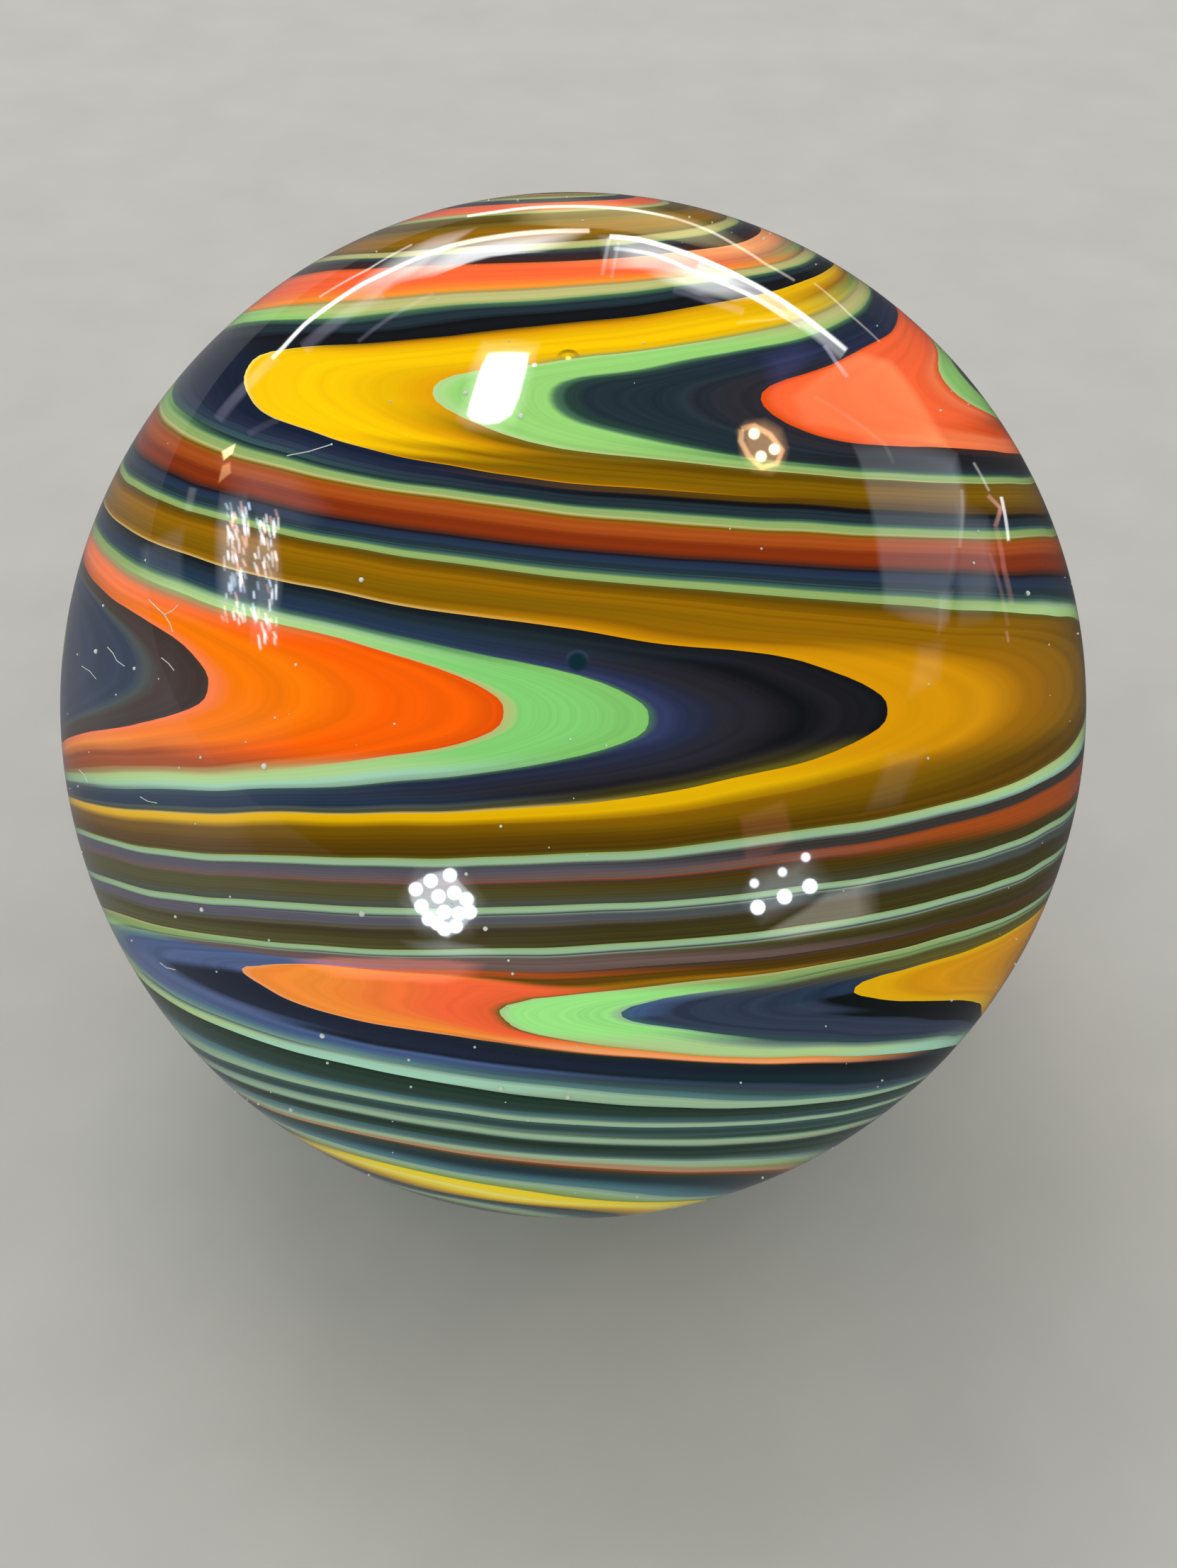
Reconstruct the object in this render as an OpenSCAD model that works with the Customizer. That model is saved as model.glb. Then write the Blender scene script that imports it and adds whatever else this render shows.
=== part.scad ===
// Glass marble: a solid ball of fused coloured glass.
// Millimetres, +Z up, origin at the centre of the ball.

/* [Ball] */
// Diameter of the finished ball
ball_d = 38; // [12:0.5:60]

/* [Hidden] */
// Steps round the ball in a preview
ball_steps = 180;
// Colour of the dark blue glass that shows most
ground_glass = [0.08, 0.09, 0.16];

// Gathered, twisted, rounded and fire-polished as one piece, so it is one solid
module marble() {
    color(ground_glass)
        sphere(d = ball_d, $fn = ball_steps);
}

marble();
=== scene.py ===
"""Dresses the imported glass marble: the banded ball, the dust on it and the stage around it."""
import math
import random

import bpy
from mathutils import Color, Matrix, Vector


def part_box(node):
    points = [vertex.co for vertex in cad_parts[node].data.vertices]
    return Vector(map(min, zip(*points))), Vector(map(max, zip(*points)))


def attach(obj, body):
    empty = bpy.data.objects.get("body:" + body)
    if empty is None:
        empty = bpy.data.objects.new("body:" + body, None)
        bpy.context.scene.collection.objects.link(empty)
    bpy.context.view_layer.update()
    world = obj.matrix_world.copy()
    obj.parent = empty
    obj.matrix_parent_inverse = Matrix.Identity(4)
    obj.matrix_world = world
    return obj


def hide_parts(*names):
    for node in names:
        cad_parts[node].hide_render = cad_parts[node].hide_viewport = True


bl_info = {
    "name": "Switchback Marble",
    "version": (1, 0, 0),
    "blender": (4, 5, 0),
    "location": "View3D > Sidebar > Marble",
    "description": "Builds a glass ball with switchback bands, and the dust and stage around it",
    "category": "Object",
}

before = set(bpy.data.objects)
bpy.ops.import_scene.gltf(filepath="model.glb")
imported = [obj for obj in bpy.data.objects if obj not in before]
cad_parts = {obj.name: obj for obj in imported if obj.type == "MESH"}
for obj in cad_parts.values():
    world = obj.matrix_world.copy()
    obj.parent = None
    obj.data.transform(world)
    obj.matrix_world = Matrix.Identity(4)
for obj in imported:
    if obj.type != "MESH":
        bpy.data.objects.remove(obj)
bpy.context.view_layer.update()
BALL_LOW, BALL_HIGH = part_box("marble")
BALL_CENTRE = (BALL_LOW + BALL_HIGH) / 2
BALL_RADIUS = (BALL_HIGH.x - BALL_LOW.x) / 2
BODY = "root"
MM = 0.001

# The photograph's frame, and the ball's outline in it, in its own pixels
IMAGE_SIZE = (1661, 2212)
OUTLINE_CENTRE = (809.0, 994.8)
OUTLINE_RADIUS = 724.0

# The twist of the bands, in degrees of turn, at levels from the top of the ball (90) to its foot (-90).
# It swings to and fro, and where it turns back the bands bend.
TWIST_POINTS = [
    (90, 150), (79, 36), (72, -39), (66, -90), (62, -130), (58, -180), (54, -217), (50, -250),
    (46.5, -278), (43, -291), (39, -281), (35, -252), (29, -180), (20, -64), (16, -30), (12.5, -7),
    (9.5, 0.2), (7.5, 1.3), (5, -0.8), (0, -19.5), (-2.4, -34), (-5, -61), (-7.5, -92), (-10, -130),
    (-13, -188), (-16, -242), (-18.5, -285), (-20.5, -322), (-22.5, -344), (-25.5, -358), (-30, -347),
    (-34, -317), (-37, -287), (-40, -255), (-43, -185), (-46, -102), (-49, -42), (-52, 11), (-55, 40),
    (-60, 79), (-65, 104), (-71, 152), (-90, 200),
]
TWIST_LOW, TWIST_HIGH = -400.0, 250.0
# How the axis of the bands leans towards the viewer and rolls to the side, in degrees, by level
LEAN_POINTS = [(90, 0), (40, 0), (-50, 18), (-90, 26)]
LEAN_LOW, LEAN_HIGH = 0.0, 30.0
ROLL_POINTS = [
    (90, -1.5), (40, -1.5), (14, -0.8), (7, -0.3), (0, 0.9), (-4, 1.3), (-11, 1.3), (-20, 0), (-28, -2.4),
    (-33, -1.8), (-42, -0.5), (-90, -0.5),
]
ROLL_LOW, ROLL_HIGH = -5.0, 5.0
# Places where the soft glass was dragged, in degrees: turn and level, reach in both, then drag in both
DRAGS = [
    (-52, 42.5, 14, 4.5, -7.5, 0), (-30, 48.5, 22, 3, -8, 0), (-11, 43, 16, 4, -2.4, 0),
    (-2, 43, 7, 3.5, 2.6, 0), (-12, 36, 14, 4.5, 0, 0.75), (72, 57, 42, 14, 0, -3.2),
    (29, 38, 12, 3, 0, 1.5), (22, 41.5, 7, 3.5, 1.8, 0), (17, 14, 12, 2.2, 0, -0.8),
    (-10, 13.5, 12, 2.5, 0, 0.5), (0, 17.5, 10, 2.5, 0, -0.9), (-52, -2, 20, 2, 0, -0.75),
    (35, -21.5, 26, 3, 0, 0.6), (-37, -24.5, 13, 2.5, 1, -1.7), (0, -26, 14, 3, 2.5, 0.8),
    (-19, -22.3, 15, 1.5, 0, -2.2), (33, -25, 9, 2.5, 0, -0.8), (80, -29, 34, 2.2, 0, -2.4),
    (58, -35, 26, 3.5, 0, -1.3),
]

# The rods laid side by side round the gather, with the degrees that each takes up near the top,
# in the middle and near the foot
RODS = [
    ("slate", 28.5, 36.5, 53), ("orange", 38.5, 30.5, 9), ("green", 13, 12.2, 19),
    ("navy", 23.5, 23.5, 30), ("amber", 56, 56.8, 43), ("green", 16, 16, 20), ("indigo", 26, 26, 24),
    ("rust", 55, 55, 46), ("green", 18, 18, 22), ("marine", 30, 26, 26), ("yellow", 39, 42, 48),
    ("green", 16.5, 17.5, 20),
]
# Where each width stands in a row, the turn at which the first rod starts, and the levels over which
# the widths pass into those near the top and near the foot
TOP_WIDTH, MIDDLE_WIDTH, FOOT_WIDTH = 1, 2, 3
FIRST_ROD_TURN = -75.0
TOP_WIDTHS_FROM, TOP_WIDTHS_FULL = 22.0, 32.0
FOOT_WIDTHS_FROM, FOOT_WIDTHS_FULL = -26.0, -31.0

# The glasses, each in stretches from top to foot: what the stretch is, the levels where it starts and ends,
# and the colours met on the way across a rod, from its edge at the lower turn (0) to its other edge (1).
# From the end of one stretch to the start of the next the colours blend.
GLASSES = {
    "slate": [
        ("shoulder", 49, 49, [(0, "fern"), (0.12, "petrol"), (0.35, "midnight"), (1, "midnight")]),
        ("high bend", 45, 39, [(0, "fern"), (0.07, "spruce"), (0.18, "petrol"), (0.5, "petrol"),
                               (0.8, "graphite"), (1, "graphite")]),
        ("run", 35, 18, [(0, "petrol"), (0.3, "soot"), (0.7, "soot"), (1, "maroon")]),
        ("eye", 15, 0, [(0, "slate"), (0.68, "slate"), (0.74, "pewter"), (0.8, "cocoa"), (1, "cocoa")]),
        ("olive thread", -10, -17.8, [(0, "mist"), (0.12, "drab"), (0.4, "khaki"), (1, "khaki")]),
        ("thread", -19.3, -21.2, [(0, "mist"), (0.12, "mauve"), (1, "mauve")]),
        ("low bend", -22.4, -25.2, [(0, "mist"), (0.15, "sea"), (0.3, "denim"), (1, "steel")]),
        ("spike", -26.4, -29.5, [(0, "mist"), (0.1, "steel"), (0.52, "steel"), (0.62, "ink"), (1, "ink")]),
        ("low run", -31.5, -33.5, [(0, "mist"), (0.1, "sea"), (0.28, "denim"), (0.42, "denim"),
                                   (0.5, "ink"), (0.85, "ink"), (1, "pine")]),
        ("deep run", -36.5, -40, [(0, "sea"), (0.2, "teal"), (0.42, "slate"), (0.52, "abyss"),
                                  (1, "black")]),
        ("foot thread", -44, -50, [(0, "sea"), (0.4, "teal"), (0.8, "spruce"), (1, "drab")]),
        ("foot", -53.5, -53.5, [(0, "sea"), (0.18, "lagoon"), (0.44, "abyss"), (0.65, "abyss"),
                                (0.85, "khaki"), (1, "rust")]),
    ],
    "navy": [
        ("cap", 60, 60, [(0, "olive"), (1, "umber")]),
        ("run", 35, 16, [(0, "teal"), (0.1, "naval"), (0.35, "naval"), (0.6, "petrol"), (1, "jet")]),
        ("bend", 12, 5.5, [(0, "fern"), (0.05, "twilight"), (0.16, "midnight"), (0.32, "graphite"),
                           (0.5, "soot"), (0.62, "jet"), (0.8, "soot"), (1, "jet")]),
        ("low", 3, 0, [(0, "fern"), (0.08, "midnight"), (0.45, "graphite"), (0.65, "soot"), (0.85, "khaki"),
                       (1, "olive")]),
        ("low run", -3, -9, [(0, "teal"), (0.2, "slate"), (0.6, "naval"), (0.75, "pewter"), (0.9, "drab"),
                             (1, "cream")]),
        ("pale thread", -18, -22, [(0, "sage"), (0.3, "drab"), (1, "olive")]),
        ("foot bend", -24.5, -25.8, [(0, "lagoon"), (0.06, "denim"), (0.2, "slate"), (0.55, "slate"),
                                     (0.75, "naval"), (1, "naval")]),
        ("spike tip", -26.4, -27.4, [(0, "lagoon"), (0.1, "slate"), (0.8, "slate"), (0.86, "black"),
                                     (1, "black")]),
        ("spike", -29, -33, [(0, "teal"), (0.15, "slate"), (0.6, "slate"), (0.66, "black"), (1, "black")]),
        ("foot thread", -37, -46.5, [(0, "mist"), (0.5, "sea"), (1, "lagoon")]),
        ("foot", -51, -51, [(0, "mist"), (0.35, "teal"), (0.65, "spruce"), (1, "pine")]),
    ],
    "indigo": [
        ("cap", 58, 58, [(0, "pewter"), (0.4, "graphite"), (1, "maroon")]),
        ("run", 40, 2, [(0, "teal"), (0.15, "petrol"), (0.5, "naval"), (0.75, "midnight"), (0.88, "jet"),
                        (1, "maroon")]),
        ("warm thread", -4.5, -7, [(0, "smoke"), (0.5, "smoke"), (0.7, "rust"), (1, "rust")]),
        ("thread", -9, -9, [(0, "pewter"), (0.3, "dusk"), (0.7, "mauve"), (1, "mauve")]),
        ("pale thread", -12.5, -12.5, [(0, "dusk"), (0.5, "dusk"), (1, "mauve")]),
        ("foot thread", -38, -43.5, [(0, "celadon"), (0.5, "mist"), (1, "sea")]),
        ("foot", -47, -47, [(0, "mist"), (0.25, "fern"), (0.5, "spruce"), (1, "spruce")]),
    ],
    "marine": [
        ("shoulder", 47, 47, [(0, "fern"), (0.2, "petrol"), (0.45, "petrol"), (0.58, "jet"), (1, "jet")]),
        ("bend", 43, 34.5, [(0, "teal"), (0.3, "slate"), (0.6, "midnight"), (0.8, "ink"), (1, "ink")]),
        ("run", 31, -5, [(0, "petrol"), (0.35, "petrol"), (0.5, "jet"), (0.64, "jet"), (0.74, "bark"),
                         (1, "umber")]),
        ("thread", -12, -12, [(0, "mist"), (0.2, "pewter"), (0.8, "pewter"), (1, "khaki")]),
        ("pale thread", -16.5, -16.5, [(0, "dusk"), (0.5, "dusk"), (1, "drab")]),
        ("foot thread", -36, -40.5, [(0, "celadon"), (0.6, "sea"), (1, "lagoon")]),
        ("foot", -44, -44, [(0, "mist"), (0.3, "teal"), (0.8, "spruce"), (1, "pine")]),
    ],
    "green": [
        ("shoulder", 53, 53, [(0, "tan"), (0.2, "straw"), (0.7, "straw"), (0.9, "sage"), (1, "fern")]),
        ("high bend", 48.5, 39, [(0, "pistachio"), (0.15, "apple"), (0.9, "apple"), (1, "fern")]),
        ("high run", 34, 30, [(0, "straw"), (0.15, "sage"), (0.5, "sage"), (0.68, "fern"), (0.85, "spruce"),
                              (1, "petrol")]),
        ("run", 26, 19, [(0, "sage"), (0.45, "sage"), (0.65, "fern"), (0.85, "teal"), (1, "petrol")]),
        ("left run", 16, 16, [(0, "pistachio"), (0.4, "pistachio"), (0.65, "celadon"), (0.85, "fern"),
                              (1, "teal")]),
        ("bend", 12, 4, [(0, "straw"), (0.1, "mint"), (0.5, "mint"), (0.85, "leaf"), (1, "leaf")]),
        ("low", 0, -3, [(0, "straw"), (0.15, "pistachio"), (0.4, "pistachio"), (0.7, "frost"),
                        (1, "mist")]),
        ("thread", -6, -19, [(0, "sage"), (0.3, "celadon"), (0.65, "celadon"), (0.88, "pewter"),
                             (1, "dusk")]),
        ("low run", -20.8, -22, [(0, "straw"), (0.3, "sage"), (0.75, "sage"), (1, "fern")]),
        ("foot bend", -23.6, -28, [(0, "pistachio"), (0.08, "lime"), (0.9, "lime"), (1, "celadon")]),
        ("foot low", -31, -33.4, [(0, "straw"), (0.2, "pistachio"), (0.55, "pistachio"), (0.75, "mist"),
                                  (1, "teal")]),
        ("frost", -35.4, -37, [(0, "frost"), (0.6, "frost"), (1, "mist")]),
        ("foot thread", -39, -47, [(0, "mist"), (0.3, "celadon"), (0.8, "celadon"), (1, "mist")]),
        ("pale", -50, -53, [(0, "tan"), (0.5, "celadon"), (1, "celadon")]),
        ("foot", -57, -57, [(0, "moss"), (0.35, "sage"), (0.65, "celadon"), (1, "mist")]),
    ],
    "orange": [
        ("high bend", 40, 40, [(0, "flame"), (0.06, "salmon"), (0.8, "salmon"), (0.9, "coral"),
                               (1, "flame")]),
        ("high run", 37, 37, [(0, "coral"), (0.35, "coral"), (0.55, "flame"), (1, "rust")]),
        ("run", 25, 17, [(0, "rust"), (0.35, "coral"), (0.65, "coral"), (0.85, "tan"), (1, "sage")]),
        ("bend", 13, 3, [(0, "coral"), (0.1, "tangerine"), (0.36, "tangerine"), (0.64, "orange"),
                         (0.9, "orange"), (1, "flame")]),
        ("low", -1, -1, [(0, "coral"), (0.2, "apricot"), (0.45, "rust"), (0.8, "rust"), (1, "straw")]),
        ("dark thread", -10, -20, [(0, "cocoa"), (0.4, "bark"), (1, "khaki")]),
        ("brown", -21.5, -22.4, [(0, "rust"), (0.35, "rust"), (0.5, "umber"), (0.72, "umber"),
                                 (0.88, "caramel"), (1, "olive")]),
        ("foot bend", -23.4, -29, [(0, "peach"), (0.05, "apricot"), (0.3, "apricot"), (0.75, "salmon"),
                                   (0.94, "salmon"), (1, "olive")]),
        ("foot run", -31.5, -34, [(0, "brick"), (0.2, "peach"), (0.5, "peach"), (0.85, "apricot"),
                                  (1, "sage")]),
        ("foot dark", -37, -45, [(0, "ink"), (1, "pine")]),
        ("foot thread", -49, -49, [(0, "tan"), (1, "tan")]),
    ],
    "rust": [
        ("cap", 65, 65, [(0, "peach"), (0.35, "peach"), (0.55, "tan"), (0.8, "sage"), (1, "pewter")]),
        ("high", 60, 45, [(0, "rust"), (0.12, "salmon"), (0.6, "salmon"), (0.92, "apricot"), (1, "moss")]),
        ("run", 34, 0, [(0, "maroon"), (0.15, "brick"), (0.4, "brick"), (0.62, "rust"), (0.8, "rust"),
                        (0.92, "bronze"), (1, "straw")]),
        ("line", -4.5, -7, [(0, "rust"), (0.5, "rust"), (0.8, "bark"), (1, "khaki")]),
        ("thread", -9.2, -9.2, [(0, "rust"), (0.08, "cocoa"), (0.2, "bark"), (0.6, "khaki"), (1, "khaki")]),
        ("pale thread", -13, -20, [(0, "mauve"), (0.15, "drab"), (0.6, "drab"), (1, "pewter")]),
        ("foot", -40, -40, [(0, "teal"), (0.4, "spruce"), (1, "teal")]),
    ],
    "amber": [
        ("cap", 50, 50, [(0, "olive"), (0.3, "toffee"), (0.7, "toffee"), (1, "olive")]),
        ("run", 30, 19, [(0, "cream"), (0.06, "toffee"), (0.3, "bronze"), (0.55, "toffee"),
                         (0.72, "toffee"), (0.88, "umber"), (1, "olive")]),
        ("upper", 15.5, 15.5, [(0, "honey"), (0.12, "caramel"), (0.3, "toffee"), (0.75, "toffee"),
                               (0.9, "bronze"), (1, "olive")]),
        ("bend", 12, 4, [(0, "honey"), (0.22, "honey"), (0.36, "caramel"), (0.55, "toffee"),
                         (0.75, "bronze"), (0.9, "umber"), (1, "olive")]),
        ("low", 0, -3, [(0, "gold"), (0.12, "gold"), (0.26, "toffee"), (0.45, "bronze"), (0.7, "umber"),
                        (0.92, "umber"), (1, "olive")]),
        ("thread", -6, -12, [(0, "gold"), (0.1, "gold"), (0.25, "bronze"), (0.6, "umber"), (0.88, "bark"),
                             (1, "olive")]),
        ("foot bend", -21, -31, [(0, "gold"), (0.15, "honey"), (0.4, "honey"), (1, "caramel")]),
        ("foot", -40, -40, [(0, "spruce"), (0.5, "pine"), (0.8, "spruce"), (1, "mist")]),
    ],
    "yellow": [
        ("cap", 57, 57, [(0, "gold"), (0.2, "gold"), (0.5, "caramel"), (0.75, "moss"), (1, "sage")]),
        ("high", 52, 48, [(0, "umber"), (0.15, "honey"), (0.32, "gold"), (0.7, "sun"), (0.88, "gold"),
                          (1, "moss")]),
        ("bend", 44.5, 41.5, [(0, "primrose"), (0.03, "sun"), (0.6, "sun"), (0.85, "gold"), (1, "honey")]),
        ("low bend", 37.6, 37.6, [(0, "cream"), (0.04, "sun"), (0.6, "sun"), (0.78, "honey"),
                                  (0.9, "bronze"), (1, "olive")]),
        ("half run", 36, 36, [(0, "cream"), (0.04, "sun"), (0.25, "gold"), (0.5, "toffee"),
                              (0.75, "bronze"), (1, "olive")]),
        ("run", 34.8, 33, [(0, "honey"), (0.06, "toffee"), (0.3, "bronze"), (0.6, "bronze"),
                           (0.85, "umber"), (1, "olive")]),
        ("dim run", 30.5, 10, [(0, "umber"), (0.4, "bronze"), (0.8, "bronze"), (1, "olive")]),
        ("thread", -10, -16.5, [(0, "cocoa"), (0.2, "khaki"), (1, "khaki")]),
        ("pale thread", -19.5, -19.5, [(0, "drab"), (1, "drab")]),
        ("foot thread", -36, -54, [(0, "teal"), (0.3, "spruce"), (1, "pine")]),
        ("foot", -57.5, -57.5, [(0, "olive"), (0.3, "gold"), (0.42, "lemon"), (0.6, "primrose"),
                                (0.8, "lemon"), (1, "lemon")]),
    ],
}
# Bubbles near the skin, drawn in painted light and shade: pixel of the photograph, radius in its pixels,
# colour of the rim painted over its upper side (painted shade, paler in the second), colour of its core (a
# painted glint, dark in the second), share of the radius that the core takes up
BUBBLES = [
    ((802, 505), 18, "bark", "primrose", 0.25), ((815, 934), 18, "slate", "abyss", 0.75),
    ((754, 515), 7, "gold", "pearl", 0.6),
]

# Tints of the light that the ball mirrors, as red, green and blue
TINTS = {
    "white": (1.0, 1.0, 1.0), "cool": (0.85, 0.93, 1.0), "warm": (1.0, 0.8, 0.45),
    "cream": (1.0, 0.92, 0.78), "glow": (1.0, 0.55, 0.25), "red": (1.0, 0.25, 0.18),
    "rose": (1.0, 0.5, 0.45), "lilac": (0.8, 0.76, 1.0), "violet": (0.3, 0.25, 1.0),
    "blue": (0.6, 0.78, 1.0), "yellow": (1.0, 0.85, 0.4),
}
# What the ball mirrors, drawn where it shows in the photograph, in its pixels.
# Patches: tint, glow, share of the way out that is full strength, outline
PATCHES = [
    ("white", 30, 0.9, [(690, 497), (720, 495), (749, 497), (744, 525), (735, 560), (724, 586), (706, 598),
                        (685, 600), (666, 594), (659, 586), (664, 565), (672, 540), (680, 515)]),
    ("white", 4, 0.6, [(680, 478), (730, 476), (765, 482), (756, 530), (746, 575), (730, 604), (700, 614),
                       (660, 610), (642, 594), (650, 560), (660, 520)]),
    ("white", 7, 0.35, [(545, 390), (590, 362), (640, 346), (700, 334), (770, 326), (838, 325), (805, 346),
                        (770, 356), (700, 362), (650, 376), (610, 392), (560, 402)]),
    ("white", 6, 0.35, [(905, 384), (950, 374), (1000, 382), (1050, 402), (1085, 424), (1040, 428),
                        (985, 418), (935, 400)]),
    ("white", 4.5, 0.5, [(840, 330), (900, 332), (970, 352), (1040, 386), (1075, 412), (1010, 400),
                         (930, 385), (850, 380)]),
    ("red", 6, 0.7, [(400, 1352), (470, 1349), (560, 1350), (640, 1352), (690, 1358), (680, 1376),
                     (640, 1390), (560, 1386), (470, 1380)]),
    ("yellow", 1.1, 0.6, [(700, 285), (760, 277), (860, 280), (960, 300), (1040, 330), (1080, 360),
                          (1000, 352), (900, 332), (800, 322), (720, 318)]),
    ("cool", 3, 0.3, [(560, 1326), (620, 1324), (680, 1332), (720, 1346), (660, 1354), (590, 1348)]),
    ("cool", 1.3, 0.85, [(1200, 622), (1352, 636), (1366, 700), (1354, 770), (1345, 830), (1325, 888),
                         (1288, 880), (1245, 862), (1237, 790), (1222, 700)]),
    ("yellow", 1.2, 0.85, [(1110, 560), (1160, 522), (1210, 494), (1262, 508), (1320, 590), (1345, 636),
                           (1230, 626), (1130, 600)]),
    ("white", 3, 0.4, [(470, 430), (540, 370), (620, 330), (680, 318), (640, 350), (580, 392), (520, 430)]),
    ("cool", 0.8, 0.4, [(300, 640), (420, 660), (480, 720), (440, 760), (330, 730)]),
    ("cool", 1.0, 0.5, [(1345, 700), (1395, 720), (1412, 800), (1400, 880), (1350, 890), (1335, 800)]),
    ("white", 1.2, 0.5, [(1322, 832), (1348, 826), (1340, 880), (1320, 900)]),
    ("cream", 0.6, 0.5, [(1292, 905), (1335, 896), (1330, 960), (1275, 990)]),
    ("cream", 0.5, 0.6, [(1250, 1058), (1312, 1050), (1272, 1140), (1214, 1152)]),
    ("red", 1.5, 0.8, [(1040, 1150), (1108, 1124), (1124, 1184), (1090, 1206), (1048, 1216)]),
    ("violet", 0.9, 0.3, [(1070, 500), (1130, 478), (1170, 492), (1130, 530), (1088, 562), (1072, 530)]),
    ("cream", 3.2, 0.6, [(1056, 1324), (1120, 1288), (1170, 1254), (1240, 1230), (1244, 1290), (1186, 1312),
                         (1110, 1330)]),
    ("yellow", 14, 0.7, [(312, 637), (334, 624), (329, 640), (315, 651)]),
    ("glow", 5, 0.7, [(313, 656), (326, 650), (327, 668), (307, 684)]),
    ("blue", 0.4, 0.3, [(110, 850), (250, 880), (420, 1000), (460, 1150), (420, 1300), (330, 1350),
                        (220, 1300), (130, 1150)]),
    ("cool", 0.5, 0.7, [(196, 770), (264, 738), (266, 850), (240, 842), (198, 812)]),
    ("glow", 8, 0.5, [(1036, 606), (1050, 592), (1080, 588), (1106, 602), (1116, 632), (1110, 660),
                      (1090, 674), (1062, 670), (1042, 646)]),
    ("cool", 3.2, 0.4, [(310, 690), (350, 690), (365, 780), (360, 880), (310, 880), (302, 800)]),
    ("cool", 2.6, 0.4, [(360, 715), (395, 722), (402, 820), (395, 915), (352, 912), (352, 820)]),
    ("cool", 3.5, 0.4, [(558, 1270), (586, 1218), (650, 1212), (690, 1270), (674, 1322), (630, 1342),
                        (586, 1322)]),
    ("cool", 9, 0.9, [(576, 1252), (590, 1240), (612, 1230), (636, 1224), (652, 1246), (672, 1266),
                      (672, 1292), (654, 1312), (632, 1326), (612, 1312), (590, 1290), (578, 1270)]),
    ("cool", 3, 0.4, [(1036, 1270), (1060, 1225), (1150, 1195), (1180, 1240), (1140, 1280), (1070, 1310)]),
]
# Strips: tint, glow, width, points
STRIPS = [
    ("white", 9, 6, [(384, 506), (400, 490), (430, 458), (470, 428), (510, 402), (545, 385), (590, 364)]),
    ("cream", 7, 7, [(590, 364), (640, 346), (700, 334), (760, 327), (832, 325)]),
    ("white", 3, 3, [(450, 420), (520, 380), (582, 345)]),
    ("lilac", 1.3, 18, [(428, 492), (480, 450), (540, 415)]),
    ("lilac", 1.3, 6, [(505, 482), (560, 442), (612, 414)]),
    ("white", 11, 7, [(860, 333), (900, 337), (950, 351), (1000, 370), (1050, 394), (1100, 422),
                      (1150, 458), (1195, 494)]),
    ("white", 4, 20, [(985, 372), (1040, 398), (1100, 432), (1150, 466), (1192, 500)]),
    ("cool", 6, 6, [(866, 350), (920, 358), (970, 379), (1020, 399), (1062, 418), (1112, 447)]),
    ("white", 4, 4, [(1000, 394), (1050, 414), (1100, 444), (1130, 462)]),
    ("cool", 2.5, 6, [(860, 334), (855, 360), (850, 388)]),
    ("cool", 2, 5, [(873, 342), (868, 366), (863, 392)]),
    ("lilac", 1.5, 12, [(950, 408), (1000, 424), (1050, 440)]),
    ("cream", 2, 4, [(1040, 456), (1085, 452), (1132, 447)]),
    ("cream", 4, 4, [(660, 305), (700, 299), (750, 293), (800, 291), (850, 292), (900, 297), (950, 307)]),
    ("cream", 2.5, 4, [(950, 307), (1000, 325), (1035, 344), (1080, 372), (1122, 396)]),
    ("cream", 2, 3, [(1150, 400), (1200, 444), (1242, 482)]),
    ("lilac", 4, 6, [(1164, 488), (1180, 510), (1197, 532)]),
    ("lilac", 1, 16, [(308, 592), (343, 550), (390, 502)]),
    ("lilac", 0.8, 10, [(350, 612), (392, 592)]),
    ("white", 1.5, 12, [(273, 688), (266, 722)]),
    ("white", 2, 6, [(1357, 690), (1353, 772)]),
    ("white", 3, 4, [(1374, 652), (1396, 692)]),
    ("rose", 3, 7, [(1394, 698), (1412, 716), (1404, 742)]),
    ("white", 8, 5, [(1413, 700), (1423, 762)]),
    ("rose", 1.4, 8, [(1405, 742), (1416, 800), (1428, 852)]),
    ("rose", 1, 6, [(1396, 780), (1412, 832), (1422, 882)]),
    ("rose", 3, 4, [(1420, 890), (1423, 906)]),
    ("glow", 14, 9, [(1046, 606), (1064, 601), (1086, 613), (1104, 636), (1097, 654), (1075, 660),
                     (1056, 643), (1045, 622), (1046, 606)]),
    ("cream", 0.8, 6, [(1150, 560), (1200, 590), (1250, 628), (1262, 655)]),
]
# Round lamps: tint, glow, radius, centres
LAMPS = [
    ("warm", 60, 9, [(1064, 612), (1093, 634), (1074, 644)]),
    ("cool", 60, 11, [(587, 1255), (608, 1243), (635, 1235), (595, 1279), (619, 1265), (641, 1260),
                      (658, 1269), (605, 1297), (627, 1287), (648, 1289), (663, 1287), (627, 1311),
                      (643, 1307), (617, 1303)]),
    ("cool", 60, 12, [(1069, 1280), (1107, 1265), (1143, 1250)]),
    ("cool", 30, 8, [(1064, 1246), (1137, 1209), (1104, 1230)]),
]
# Strands of glitter: first and last pixel, how far they spread, number of glints
GLITTER = [((336, 706), (330, 872), 16, 70), ((376, 730), (372, 906), 17, 70)]
GLITTER_SEED = 5
# Each glint: tints to draw from, then the least and most of its lean, half length and glow, and its width
GLINT_TINTS = ("white", "cool", "blue", "rose")
GLINT_LEAN, GLINT_LENGTH, GLINT_GLOW, GLINT_WIDTH = (0, 3), (4, 11), (5, 18), 4
# How far off the mirrored shapes are set up, in metres, and how near to the floor they may come
PATCH_DISTANCE, STRIP_DISTANCE, LAMP_DISTANCE, GLITTER_DISTANCE = 0.5, 0.45, 0.12, 0.4
SHARE_OF_WAY_TO_FLOOR = 0.9
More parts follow.
